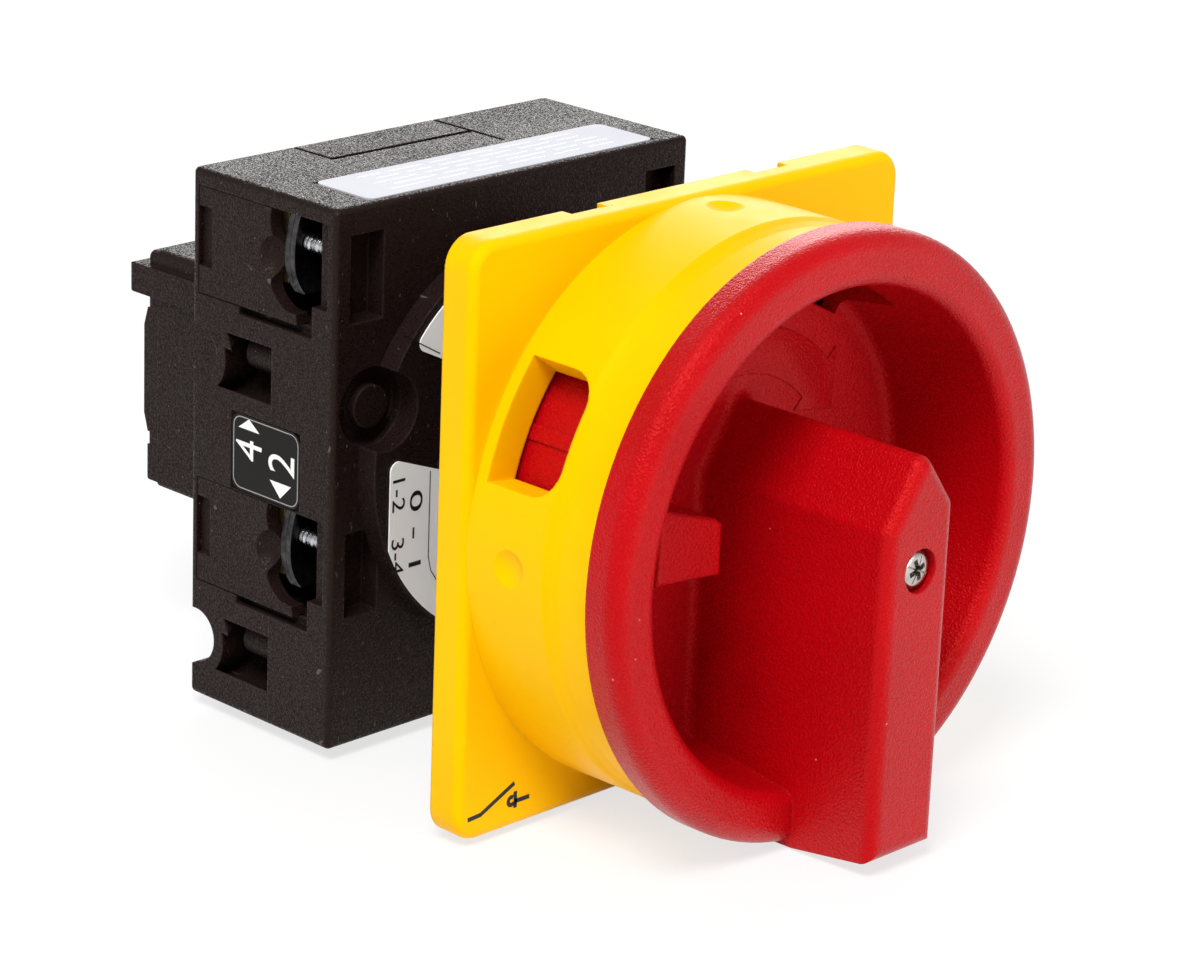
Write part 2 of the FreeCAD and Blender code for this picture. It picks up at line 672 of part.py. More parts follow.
half_grip = grip_width / 2.0
grip_bottom = -ring_radius + 0.05
grip_outline = [(-half_grip, grip_bottom), (half_grip, grip_bottom), (half_grip, grip_shoulder_right)]
grip_outline += [(0.3, grip_top), (-half_grip, grip_shoulder_left)]
grip = prism_y(grip_outline, -grip_front, -dish_floor + 0.5)
slope = [(-grip_front - 5, grip_bottom - 5), (-grip_front - 5, grip_bottom + 2.3)]
slope += [(-ring_front, grip_bottom + 0.1), (-rim_rear, grip_bottom), (-rim_rear, grip_bottom - 5)]
grip = grip.cut(prism_x(slope, -20, 20))
long_edges = []
for e in grip.Edges:
    tangent = e.tangentAt(e.FirstParameter)
    middle = e.CenterOfMass
    if abs(tangent.y) > 0.9 and middle.z > 0:
        long_edges.append(e)
grip = grip.makeFillet(1.2, long_edges)
front_edges = [e for e in grip.Edges if abs(e.CenterOfMass.y + grip_front) < 1e-4]
grip = grip.makeFillet(grip_edge, front_edges)
back_of_ring = block(-20, 20, -rim_rear, 0, -60, -skirt_radius + 0.5)
grip = grip.cut(back_of_ring)

hub = rod_y(7.5, -dish_floor + 1.0, -plate_thickness - 0.5)
handle = joined([cup, grip, hub])
root_edges = []
for e in handle.Edges:
    box = e.BoundBox
    on_floor = abs(box.YMin + dish_floor) < 1e-3 and abs(box.YMax + dish_floor) < 1e-3
    if on_floor and max(abs(box.XMin), abs(box.XMax)) < half_grip + 0.01:
        root_edges.append(e)
handle = handle.makeFillet(grip_root, root_edges)
socket = block(
    -half_square - square_gap, half_square + square_gap,
    shaft_front - 0.3, 1.0,
    -half_square - square_gap, half_square + square_gap)
handle = handle.cut(socket)
head_rear = -grip_front + screw_recess + screw_head_height
handle = handle.cut(rod_y(screw_head_radius + 0.12, -grip_front - 1, head_rear))
handle = handle.cut(rod_y(screw_shank_radius + 0.05, -grip_front, shaft_front + 1))

# lock holes in the skirt, a quarter turn from the padlock windows
for angle in (window_angle + 90.0, 90.0 - window_angle + 180.0):
    hole = block(-skirt_radius - 4, -skirt_radius + 4, -16.7, -dish_floor + floor_thickness + 0.2, -4.6, 4.6)
    handle = handle.cut(turned_about_shaft(hole, angle))
rib = block(-skirt_radius - 0.25, -skirt_radius + 0.6, -rim_rear + 1, -plate_thickness - 0.7, -0.75, 0.75)
handle = handle.fuse(turned_about_shaft(rib, window_angle - 1.2))

lock_outline = [(-20.6, -1.0), (-11.8, -1.8), (-11.8, 3.4), (-12.6, 4.0), (-20.3, 6.6)]
lock_middle_x = -16.2
lock_middle_z = 2.4


def lock_prism(grow, y0, y1):
    # every corner of the outline moves away from its middle by the same step
    corners = []
    for x, z in lock_outline:
        corners.append((x + math.copysign(grow, x - lock_middle_x), z + math.copysign(grow, z - lock_middle_z)))
    return prism_y(corners, y0, y1)


handle = handle.cut(lock_prism(lock_gap, -dish_floor - 2, -dish_floor + floor_thickness + 1))
handle = handle.removeSplitter()
save("handle", handle)

lock_front = -dish_floor - lock_grip - lock_travel
lock_slide = lock_prism(0, lock_front, -dish_floor + floor_thickness)
front_edges = [e for e in lock_slide.Edges if abs(e.CenterOfMass.y - lock_front) < 1e-4]
lock_slide = lock_slide.makeFillet(0.5, front_edges)
save("lock_slide", lock_slide)

head = rod_y(screw_head_radius, -grip_front + screw_recess, head_rear)
head_edges = [e for e in head.Edges if abs(e.CenterOfMass.y + grip_front - screw_recess) < 1e-4]
head = head.makeFillet(0.5, head_edges)
shank = rod_y(screw_shank_radius, head_rear, head_rear + screw_length)
recess_parts = []
for angle in (0.0, 90.0):
    blade = block(-1.35, 1.35, -grip_front, -grip_front + screw_recess + 1.0, -0.3, 0.3)
    recess_parts.append(turned_about_shaft(blade, angle + 20.0))
handle_screw = head.fuse(shank).cut(recess_parts).removeSplitter()
save("handle_screw", handle_screw)
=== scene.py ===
import json
import math
import bpy
import bmesh
from mathutils import Matrix, Vector


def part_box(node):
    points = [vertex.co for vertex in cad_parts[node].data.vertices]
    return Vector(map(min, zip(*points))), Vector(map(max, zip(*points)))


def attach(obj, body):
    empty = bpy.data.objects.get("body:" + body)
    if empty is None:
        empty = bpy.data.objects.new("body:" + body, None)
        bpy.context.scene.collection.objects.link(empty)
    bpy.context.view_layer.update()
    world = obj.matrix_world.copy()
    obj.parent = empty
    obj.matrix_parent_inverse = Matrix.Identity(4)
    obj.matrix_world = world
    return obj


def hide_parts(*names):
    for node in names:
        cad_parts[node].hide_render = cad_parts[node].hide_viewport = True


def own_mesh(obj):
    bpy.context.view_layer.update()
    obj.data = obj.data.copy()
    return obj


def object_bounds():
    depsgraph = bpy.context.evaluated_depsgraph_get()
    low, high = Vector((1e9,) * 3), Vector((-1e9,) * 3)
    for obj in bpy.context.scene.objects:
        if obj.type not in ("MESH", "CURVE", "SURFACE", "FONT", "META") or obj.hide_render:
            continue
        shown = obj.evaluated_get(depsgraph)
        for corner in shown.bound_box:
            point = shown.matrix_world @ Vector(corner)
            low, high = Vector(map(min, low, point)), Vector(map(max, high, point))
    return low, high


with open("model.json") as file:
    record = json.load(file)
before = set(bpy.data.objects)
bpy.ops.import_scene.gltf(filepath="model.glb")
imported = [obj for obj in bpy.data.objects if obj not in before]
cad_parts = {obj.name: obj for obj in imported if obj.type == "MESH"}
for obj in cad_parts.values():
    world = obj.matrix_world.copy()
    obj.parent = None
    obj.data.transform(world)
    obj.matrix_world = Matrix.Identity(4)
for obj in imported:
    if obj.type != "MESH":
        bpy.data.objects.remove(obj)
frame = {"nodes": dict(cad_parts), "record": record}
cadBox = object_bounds()
nodes = frame["nodes"]
record = frame["record"]
print("frame loaded:", len(nodes), "nodes")


class Val:
    # wraps a float socket, so that shader maths reads as maths
    def __init__(self, mat, socket):
        self.mat = mat
        self.socket = socket

    def maths(self, operation, *others):
        return self.mat.add("ShaderNodeMath", {"operation": operation}, [self, *others])

    def __add__(self, other): return self.maths("ADD", other)
    __radd__ = __add__
    def __mul__(self, other): return self.maths("MULTIPLY", other)
    __rmul__ = __mul__
    def __rsub__(self, other): return self.mat.add("ShaderNodeMath", {"operation": "SUBTRACT"}, [other, self])


class Material:
    # a Principled material, built with one method for every node
    def __init__(self, name, **fixed):
        self.material = bpy.data.materials.new(name)
        self.material.use_nodes = True
        self.tree = self.material.node_tree
        self.shader = self.tree.nodes["Principled BSDF"]
        self.here = self.node("ShaderNodeTexCoord").outputs["Object"]
        for socketName, value in fixed.items():
            self.set(socketName.replace("_", " "), value)

    def node(self, kind, settings=None, inputs=None):
        made = self.tree.nodes.new(kind)
        for key, value in (settings or {}).items():
            setattr(made, key, value)
        pairs = inputs.items() if isinstance(inputs, dict) else enumerate(inputs or [])
        for key, value in pairs:
            self.plug(made.inputs[key], value)
        return made

    def plug(self, socket, value):
        if isinstance(value, Val):
            value = value.socket
        if isinstance(value, bpy.types.NodeSocket):
            self.tree.links.new(value, socket)
        elif value is not None:
            socket.default_value = value

    def add(self, kind, settings=None, inputs=None, output=0):
        return Val(self, self.node(kind, settings, inputs).outputs[output])

    def set(self, socketName, value):
        self.plug(self.shader.inputs[socketName], value)

    def moved(self, scale, turn=(0, 0, 0)):
        placed = {"Vector": self.here, "Scale": scale, "Rotation": turn}
        return self.node("ShaderNodeMapping", None, placed).outputs[0]

    def noise(self, size, detail=2.0, rough=0.5, where=None):
        # size is the width of one blotch in metres
        return self.add("ShaderNodeTexNoise", None, {
            "Vector": where or self.here, "Scale": 1 / size, "Detail": detail, "Roughness": rough})

    def cells(self, size):
        # distance from the middle of the nearest cell; size is the width of one cell in metres
        return self.add("ShaderNodeTexVoronoi", {"feature": "F1"}, {"Vector": self.here, "Scale": 1 / size})

    def band(self, value, low, high, toLow=0.0, toHigh=1.0):
        return self.add("ShaderNodeMapRange", {"clamp": True}, [value, low, high, toLow, toHigh])

    def mix(self, mask, first, second):
        made = self.node("ShaderNodeMix", {"data_type": "RGBA"})
        self.plug(made.inputs[0], mask)
        self.plug(made.inputs[6], first)
        self.plug(made.inputs[7], second)
        return made.outputs[2]

    def softEdges(self, radius):
        return self.node("ShaderNodeBevel", {"samples": 4}, {"Radius": radius}).outputs[0]

    def edgeMask(self, radius, low=0.02, high=0.35):
        # 1 on sharp edges, 0 on flats
        soft = self.softEdges(radius)
        plain = self.node("ShaderNodeNewGeometry").outputs["Normal"]
        dot = self.add("ShaderNodeVectorMath", {"operation": "DOT_PRODUCT"}, [soft, plain], output=1)
        return self.band(1 - dot, low, high)

    def bump(self, height, strength, distance, normal=None):
        return self.node("ShaderNodeBump", None, {
            "Strength": strength, "Distance": distance, "Height": height, "Normal": normal}).outputs[0]


def linear(red, green, blue):
    # a colour given as 0-255 screen values
    def one(v):
        v = v / 255
        return v / 12.92 if v <= 0.04045 else ((v + 0.055) / 1.055) ** 2.4
    return (one(red), one(green), one(blue), 1)


# finishes: colours as 0-255 screen values, lengths in metres
yellowFinish = dict(base=(244, 188, 0), warm=(242, 181, 0), sheen=(255, 220, 50), gloss=0.16, roughness=0.42,
                    edge=0.00035, grain=0.00022)
redFinish = dict(base=(178, 2, 13), dark=(166, 2, 11), pale=(214, 40, 44), sheen=(255, 92, 84), gloss=0.70,
                 roughness=0.28, edge=0.0003, grain=0.00021)
blackFinish = dict(base=(24, 12, 11), pale=(32, 20, 18), dust=(140, 128, 120), sheen=(255, 240, 232), gloss=0.20,
                   roughness=0.50, edge=0.00025, grain=0.00026)


def plasticShader(name, look):
    return Material(name, IOR=1.5, Specular_IOR_Level=look["gloss"], Specular_Tint=linear(*look["sheen"]))


def makeYellowPlastic(look):
    m = plasticShader("yellowPlastic", look)
    clouds = m.noise(0.018, 3)
    grain = m.noise(look["grain"], 3, 0.6)
    rub = m.noise(0.004, 4, 0.65)
    edge = m.edgeMask(0.0005)
    colour = m.mix(m.band(clouds, 0.35, 0.7), linear(*look["base"]), linear(*look["warm"]))
    specks = m.band(m.cells(0.0035), 0.035, 0.02)
    colour = m.mix(specks * m.band(clouds, 0.5, 0.6), colour, linear(120, 84, 20))
    # edges painted lighter: a painted highlight along the rounded edges
    colour = m.mix(edge * 0.20, colour, linear(250, 196, 30))
    m.set("Base Color", colour)
    m.set("Roughness", look["roughness"] + m.band(rub, 0.3, 0.7, -0.05, 0.08))
    soft = m.softEdges(look["edge"])
    m.set("Normal", m.bump(grain, 0.22, 0.00006, soft))
    return m.material


def makeRedPlastic(look):
    m = plasticShader("redPlastic", look)
    clouds = m.noise(0.012, 3)
    grain = m.noise(look["grain"], 2.5, 0.65)
    fine = m.cells(look["grain"] * 1.3)
    edge = m.edgeMask(0.0006)
    colour = m.mix(m.band(clouds, 0.3, 0.7), linear(*look["base"]), linear(*look["dark"]))
    colour = m.mix(m.band(grain, 0.56, 0.76) * 0.25, colour, linear(*look["pale"]))
    # edges painted toward the lit red: a painted highlight along the rounded edges
    colour = m.mix(edge * 0.14, colour, linear(*look["pale"]))
    lint = m.band(m.cells(0.0042), 0.030, 0.016)
    colour = m.mix(lint * 0.7, colour, linear(238, 150, 140))
    m.set("Base Color", colour)
    m.set("Roughness", look["roughness"] + m.band(grain, 0.3, 0.7, -0.05, 0.08))
    soft = m.softEdges(look["edge"])
    m.set("Normal", m.bump(grain * 0.7 + fine * 0.5, 0.8, 0.00015, soft))
    return m.material


def makeBlackPlastic(look):
    m = plasticShader("blackPlastic", look)
    clouds = m.noise(0.009, 4, 0.6)
    grain = m.noise(look["grain"], 3, 0.6)
    edge = m.edgeMask(0.0004)
    colour = m.mix(m.band(clouds, 0.35, 0.75) * 0.5, linear(*look["base"]), linear(*look["pale"]))
    for turn in ((0.5, 0.2, 0.9), (1.4, 0.8, 0.1)):
        hair = m.noise(0.00030, 1, 0.5, m.moved((1, 0.16, 0.22), turn))
        colour = m.mix(m.band(hair, 0.76, 0.79) * 0.30, colour, linear(*look["dust"]))
    # edges painted lighter grey: a painted highlight along the rounded edges
    colour = m.mix(edge * 0.22, colour, linear(78, 66, 62))
    for size, radius in ((0.0011, 0.060), (0.0026, 0.030)):
        fluff = m.band(m.cells(size), radius, radius * 0.5) * m.band(m.noise(size * 4, 2), 0.42, 0.56)
        colour = m.mix(fluff * 0.85, colour, linear(*look["dust"]))
    m.set("Base Color", colour)
    sparkle = m.noise(look["grain"] * 0.8, 1.5, 0.6, m.moved((1.1, 1, 1), (0.3, 0.1, 0.7)))
    glints = m.band(sparkle, 0.40, 0.60, -0.26, 0.30)
    m.set("Roughness", look["roughness"] + m.band(clouds, 0.3, 0.75, -0.06, 0.10) + glints)
    soft = m.softEdges(look["edge"])
    m.set("Normal", m.bump(grain, 0.8, 0.00012, soft))
    return m.material


def makeMetal(name, colour, tint, roughness):
    m = Material(name, Metallic=1.0)
    clouds = m.noise(0.0011, 4, 0.6)
    scratch = m.noise(0.00012, 3, 0.6, m.moved((1, 0.14, 1)))
    shade = m.mix(m.band(clouds, 0.35, 0.7), linear(*colour), linear(*tint))
    m.set("Base Color", shade)
    m.set("Roughness", roughness + m.band(scratch, 0.3, 0.7, -0.06, 0.10))
    m.set("Normal", m.bump(scratch, 0.22, 0.00002, m.softEdges(0.00012)))
    return m.material


def makeWhiteFilm(name, shade, stained):
    m = Material(name, IOR=1.46, Specular_IOR_Level=0.1)
    fibres = m.noise(0.0004, 4, 0.7)
    stain = m.noise(0.007, 3)
    m.set("Base Color", m.mix(m.band(stain, 0.4, 0.75) * 0.6, linear(*shade), linear(*stained)))
    m.set("Roughness", 0.75 + m.band(fibres, 0.3, 0.7, -0.05, 0.06))
    m.set("Normal", m.bump(fibres, 0.12, 0.00003))
    return m.material


def makeBlackFilm():
    m = Material("blackFilm", IOR=1.46, Specular_IOR_Level=0.16)
    fibres = m.noise(0.0003, 3, 0.7)
    specks = m.band(m.cells(0.0016), 0.035, 0.02)
    m.set("Base Color", m.mix(specks * 0.4, linear(18, 15, 14), linear(110, 108, 106)))
    m.set("Roughness", 0.36 + m.band(fibres, 0.3, 0.7, -0.04, 0.06))
    m.set("Normal", m.bump(fibres, 0.10, 0.00002))
    return m.material


def makeInk(name, colour, roughness=0.5):
    m = Material(name, IOR=1.45)
    worn = m.noise(0.00025, 3, 0.6)
    m.set("Base Color", m.mix(m.band(worn, 0.62, 0.8) * 0.25, linear(*colour), linear(128, 124, 118)))
    m.set("Roughness", roughness + m.band(worn, 0.3, 0.7, -0.05, 0.05))
    return m.material


def makePalePlastic():
    m = Material("palePlastic", IOR=1.5)
    clouds = m.noise(0.004, 3)
    grain = m.noise(0.0002, 3)
    m.set("Base Color", m.mix(clouds, linear(226, 222, 210), linear(208, 204, 190)))
    m.set("Roughness", 0.45 + m.band(grain, 0.3, 0.7, -0.05, 0.05))
    m.set("Normal", m.bump(grain, 0.2, 0.00004, m.softEdges(0.0002)))
    return m.material


finishes = {
    "yellow_plastic": makeYellowPlastic(yellowFinish),
    "red_plastic": makeRedPlastic(redFinish),
    "black_plastic": makeBlackPlastic(blackFinish),
    "white_plastic": makePalePlastic(),
    "black_label": makeBlackFilm(),
    "white_label": makeWhiteFilm("whiteFilm", (206, 206, 212), (196, 198, 208)),
    "zinc_steel": makeMetal("zincSteel", (214, 215, 218), (184, 186, 190), 0.24),
    "nickel_steel": makeMetal("nickelSteel", (206, 202, 196), (180, 174, 168), 0.22),
    "spring_steel": makeMetal("springSteel", (168, 168, 170), (140, 140, 144), 0.30),
    "brass_bar": makeMetal("brassStrip", (150, 126, 84), (120, 98, 62), 0.36),
}
# a brighter copy of the white film for the round label: painted light against the shade of the front plate
paintedLightFilm = makeWhiteFilm("paintedLightFilm", (250, 250, 250), (244, 244, 246))
# steel painted dark for the clamp plates: painted shade for the deep cavity they sit in
shadowPaintedSteel = makeMetal("shadowPaintedSteel", (84, 82, 82), (38, 37, 38), 0.30)
blackInk = makeInk("blackInk", (14, 13, 14))
whiteInk = makeInk("whiteInk", (232, 232, 230))
slotOf = {part["node"]: part["material_slot"] for part in record["subparts"]}

for nodeName, nodeObject in nodes.items():
    mesh = nodeObject.data
    mesh.materials.clear()
    mesh.materials.append(finishes[slotOf[nodeName]])
# two pieces painted for the light they sit in: the round label gets a brighter copy of the white film, a painted
# lift against the front plate's shade; the clamp plates get steel painted dark, a painted shade for their deep
# cavity
nodes["round_label"].data.materials[0] = paintedLightFilm
nodes["clamp_plates"].data.materials[0] = shadowPaintedSteel
print("finishes made:", len(finishes))


class Graph:
    # a Geometry Nodes tree with named sizes
    def __init__(self, name, sizes):
        self.name = name
        self.sizes = sizes
        self.tree = bpy.data.node_groups.new(name, "GeometryNodeTree")
        self.tree.interface.new_socket("Geometry", in_out="INPUT", socket_type="NodeSocketGeometry")
        self.tree.interface.new_socket("Geometry", in_out="OUTPUT", socket_type="NodeSocketGeometry")
        for key, value in sizes.items():
            kind = "NodeSocketInt" if isinstance(value, int) else "NodeSocketFloat"
            self.tree.interface.new_socket(key, in_out="INPUT", socket_type=kind).default_value = value
        self.start = self.tree.nodes.new("NodeGroupInput")
        self.end = self.tree.nodes.new("NodeGroupOutput")

    def size(self, key):
        return self.start.outputs[key]

    def node(self, kind, settings=None, inputs=None):
        made = self.tree.nodes.new(kind)
        for key, value in (settings or {}).items():
            setattr(made, key, value)
        pairs = inputs.items() if isinstance(inputs, dict) else enumerate(inputs or [])
        for key, value in pairs:
            for one in (value if isinstance(value, list) else [value]):
                if isinstance(one, bpy.types.NodeSocket):
                    self.tree.links.new(one, made.inputs[key])
                elif one is not None:
                    made.inputs[key].default_value = one
        return made

    def maths(self, operation, first, second):
        return self.node("ShaderNodeMath", {"operation": operation}, [first, second]).outputs[0]

    def swept(self, curve, section):
        drawn = {"Curve": curve, "Profile Curve": section, "Fill Caps": True}
        return self.node("GeometryNodeCurveToMesh", None, drawn).outputs[0]

    def shifted(self, geometry, offset):
        moved = {"Geometry": geometry, "Translation": offset}
        return self.node("GeometryNodeTransform", None, moved).outputs[0]

    def along(self, height):
        return self.node("ShaderNodeCombineXYZ", None, [0, 0, height]).outputs[0]

    def close(self, geometry, material):
        real = self.node("GeometryNodeRealizeInstances", None, [geometry]).outputs[0]
        done = self.node("GeometryNodeSetMaterial", None, {"Geometry": real, "Material": material}).outputs[0]
        self.tree.links.new(done, self.end.inputs[0])
        return self

    def run(self, pieceName, seedMesh, sizes=None, place=None, smooth=40):
        # runs the tree on a mesh and keeps the result as a plain mesh
        holder = bpy.data.objects.new(pieceName + "Seed", seedMesh)
        bpy.context.collection.objects.link(holder)
        modifier = holder.modifiers.new(self.name, "NODES")
        modifier.node_group = self.tree
        for item in self.tree.interface.items_tree:
            if item.in_out == "INPUT" and item.name in self.sizes:
                modifier[item.identifier] = (sizes or {}).get(item.name, self.sizes[item.name])
        graph = bpy.context.evaluated_depsgraph_get()
        mesh = bpy.data.meshes.new_from_object(holder.evaluated_get(graph), depsgraph=graph)
        bpy.data.objects.remove(holder)
        if place is not None:
            mesh.transform(place)
        return keepPiece(pieceName, mesh, smooth)


def keepPiece(pieceName, mesh, smooth=40, material=None):
    mesh.name = pieceName
    if material is not None:
        mesh.materials.clear()
        mesh.materials.append(material)
    piece = bpy.data.objects.new(pieceName, mesh)
    bpy.context.collection.objects.link(piece)
    if smooth:
        for face in mesh.polygons:
            face.use_smooth = True
        mesh.set_sharp_from_angle(angle=math.radians(smooth))
    return piece


def applyAll(piece, smooth=40):
    # turns the live modifiers of a piece into its mesh
    graph = bpy.context.evaluated_depsgraph_get()
    mesh = bpy.data.meshes.new_from_object(piece.evaluated_get(graph), depsgraph=graph)
    name = piece.name
    bpy.data.objects.remove(piece)
    return keepPiece(name, mesh, smooth)


def meshFrom(points, edges=(), faces=()):
    mesh = bpy.data.meshes.new("shape")
    mesh.from_pydata([Vector(p) for p in points], edges, faces)
    mesh.update()
    return mesh


def facing(side, origin):
    # lays a flat drawing, in millimetres, on a face of the object that looks to one side
    right, up = {"left": ((0, -1, 0), (0, 0, 1)), "rightHand": ((0, 1, 0), (0, 0, 1)),
                 "front": ((1, 0, 0), (0, 0, 1)), "top": ((1, 0, 0), (0, 1, 0))}[side]
    out = Vector(right).cross(Vector(up))
    turn = Matrix((right, up, out)).transposed().to_4x4()
    return Matrix.Translation(origin) @ turn @ Matrix.Scale(0.001, 4)


def chain(*lines):
    # joins lines of (x, y) points into one mesh of edges
    points, edges = [], []
    for line in lines:
        first = len(points)
        closed = line[0] == line[-1]
        line = line[:-1] if closed else line
        points += [(x, y, 0) for x, y in line]
        edges += [(first + i, first + i + 1) for i in range(len(line) - 1)]
        if closed:
            edges.append((first + len(line) - 1, first))
    return meshFrom(points, edges)


def arcLine(x, y, radius, start, end, steps=16):
    turns = [math.radians(start + (end - start) * i / steps) for i in range(steps + 1)]
    return [(x + radius * math.cos(a), y + radius * math.sin(a)) for a in turns]


def roundedFrame(width, height, corner):
    points = []
    for cx, cy, start in ((1, 1, 0), (-1, 1, 90), (-1, -1, 180), (1, -1, 270)):
        points += arcLine(cx * (width / 2 - corner), cy * (height / 2 - corner), corner, start, start + 90, 6)
    return points + [points[0]]


def inkGraph(ink):
    # a printed line of even width along each edge chain
    g = Graph("inkLines", {"Width": 0.45, "Thickness": 0.03})
    line = g.node("GeometryNodeMeshToCurve", None, [g.start.outputs[0]]).outputs[0]
    line = g.node("GeometryNodeSetCurveNormal", {"mode": "Z_UP"}, [line]).outputs[0]
    strip = g.node("GeometryNodeCurvePrimitiveQuadrilateral", {"mode": "RECTANGLE"},
                   {"Width": g.size("Width"), "Height": g.size("Thickness")}).outputs[0]
    return g.close(g.swept(line, strip), ink)


def printed(text, box, turn, place, ink, pieceName, thickness=0.03):
    # a line of plain figures, turned and fitted to a box (x0, y0, x1, y1) of the flat drawing
    curve = bpy.data.curves.new(pieceName, "FONT")
    curve.body = text
    curve.extrude = 0.01
    holder = bpy.data.objects.new(pieceName + "Text", curve)
    bpy.context.collection.objects.link(holder)
    graph = bpy.context.evaluated_depsgraph_get()
    mesh = bpy.data.meshes.new_from_object(holder.evaluated_get(graph), depsgraph=graph)
    bpy.data.objects.remove(holder)
    mesh.transform(Matrix.Rotation(math.radians(turn), 4, "Z"))
    low = [min(v.co[i] for v in mesh.vertices) for i in range(3)]
    high = [max(v.co[i] for v in mesh.vertices) for i in range(3)]
    wanted = (box[2] - box[0], box[3] - box[1], thickness)
    fit = [size / (b - a) for size, a, b in zip(wanted, low, high)]
    middle = [(a + b) / 2 for a, b in zip(low, high)]
    mesh.transform(Matrix.Diagonal((*fit, 1)) @ Matrix.Translation([-v for v in middle]))
    mesh.transform(place @ Matrix.Translation(((box[0] + box[2]) / 2, (box[1] + box[3]) / 2, 0)))
    return keepPiece(pieceName, mesh, 0, ink)


def plate(points, thickness, place, pieceName, material, bevel=0.0):
    # a flat shape of even thickness, standing up from z = 0 of its drawing
    build = bmesh.new()
    low = [build.verts.new((x, y, 0)) for x, y in points]
    face = build.faces.new(low)
    if face.normal.z < 0:
        face.normal_flip()
    raised = bmesh.ops.extrude_face_region(build, geom=[face])
    upper = [v for v in raised["geom"] if isinstance(v, bmesh.types.BMVert)]
    bmesh.ops.translate(build, vec=(0, 0, thickness), verts=upper)
    bmesh.ops.recalc_face_normals(build, faces=build.faces)
    if bevel:
        rims = [e for e in build.edges if all(v.co.z > thickness / 2 for v in e.verts)]
        bmesh.ops.bevel(build, geom=rims, offset=bevel, segments=2, affect="EDGES", profile=0.5)
    mesh = bpy.data.meshes.new(pieceName)
    build.to_mesh(mesh)
    build.free()
    mesh.transform(place)
    return keepPiece(pieceName, mesh, 30, material)


def turnedMesh(profile, steps):
    # a shape turned about Z from (radius, height) points; the first and last points are on the axis
    build = bmesh.new()
    rows = []
    turns = [2 * math.pi * i / steps for i in range(steps)]
    for radius, height in profile:
        if radius == 0:
            rows.append([build.verts.new((0, 0, height))])
        else:
            rows.append([build.verts.new((radius * math.cos(a), radius * math.sin(a), height)) for a in turns])
    for first, second in zip(rows, rows[1:]):
        for i in range(steps):
            j = (i + 1) % steps
            ring = [first[i % len(first)], first[j % len(first)], second[j % len(second)], second[i % len(second)]]
            build.faces.new(list(dict.fromkeys(ring)))
    bmesh.ops.recalc_face_normals(build, faces=build.faces)
    mesh = bpy.data.meshes.new("turned")
    build.to_mesh(mesh)
    build.free()
    return mesh


def carved(piece, cutters, smooth=40):
    # takes the cutters' shapes out of a piece
    for cutter in cutters:
        cut = piece.modifiers.new("cut", "BOOLEAN")
        cut.object = cutter
        cut.solver = "EXACT"
    result = applyAll(piece, smooth)
    for cutter in cutters:
        bpy.data.objects.remove(cutter)
    return result


# cross-head screws in the terminals, in metres
terminalScrew = {"Radius": 0.0010, "Pitch": 0.0006, "Thread Depth": 0.00020,
                 "Head Radius": 0.0020, "Head Length": 0.0024,
                 "Cross Length": 0.0038, "Cross Width": 0.0007, "Cross Height": 0.0018, "Cross Level": -0.0012}


def makeTerminalScrews(sizes):
    low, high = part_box("terminal_screws")
    length = high.y - low.y
    g = Graph("threadedScrew", {**sizes, "Length": length})
    shankLength = g.maths("SUBTRACT", g.size("Length"), g.size("Head Length"))
    root = g.maths("SUBTRACT", g.size("Radius"), g.size("Thread Depth"))
    core = g.node("GeometryNodeMeshCylinder", None, {
        "Vertices": 28, "Radius": root, "Depth": shankLength}).outputs["Mesh"]
    core = g.shifted(core, g.along(g.maths("MULTIPLY", shankLength, 0.5)))
    turns = g.maths("DIVIDE", shankLength, g.size("Pitch"))
    helix = g.node("GeometryNodeCurveSpiral", None, {
        "Resolution": 20, "Rotations": turns, "Start Radius": root, "End Radius": root,
        "Height": shankLength}).outputs[0]
    crest = g.node("GeometryNodeCurvePrimitiveCircle", None, {
        "Resolution": 4, "Radius": g.size("Thread Depth")}).outputs[0]
    thread = g.swept(helix, crest)
    head = g.node("GeometryNodeMeshCylinder", None, {
        "Vertices": 40, "Radius": g.size("Head Radius"), "Depth": g.size("Head Length")}).outputs["Mesh"]
    bars = []
    for across, along in (("Cross Length", "Cross Width"), ("Cross Width", "Cross Length")):
        shape = g.node("ShaderNodeCombineXYZ", None, [g.size(across), g.size(along), g.size("Cross Height")])
        bar = g.node("GeometryNodeMeshCube", None, {"Size": shape.outputs[0]}).outputs["Mesh"]
        bars.append(g.shifted(bar, g.along(g.size("Cross Level"))))
    head = g.node("GeometryNodeMeshBoolean", {"operation": "DIFFERENCE"}, {
        "Mesh 1": head, "Mesh 2": bars}).outputs[0]
    head = g.shifted(head, g.along(g.maths("MULTIPLY", g.size("Head Length"), -0.5)))
    whole = g.node("GeometryNodeJoinGeometry", None, [[core, thread, head]]).outputs[0]
    spread = g.node("GeometryNodeInstanceOnPoints", None, {
        "Points": g.start.outputs[0], "Instance": whole, "Rotation": (math.radians(90), 0, 0)}).outputs[0]
    g.close(spread, finishes["zinc_steel"])
    reach = sizes["Head Radius"]
    level = high.y - sizes["Head Length"]
    seats = [(x, level, z) for x in (low.x + reach, high.x - reach) for z in (low.z + reach, high.z - reach)]
    screws = g.run("terminalScrews", meshFrom(seats), {"Length": length})
    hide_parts("terminal_screws")
    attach(screws, "base")


makeTerminalScrews(terminalScrew)
print("terminal screws made")


# coil springs behind the contact bridges, in metres
contactSpring = {"Turns": 5.0, "Coil Radius": 0.0019, "Wire Radius": 0.00035}


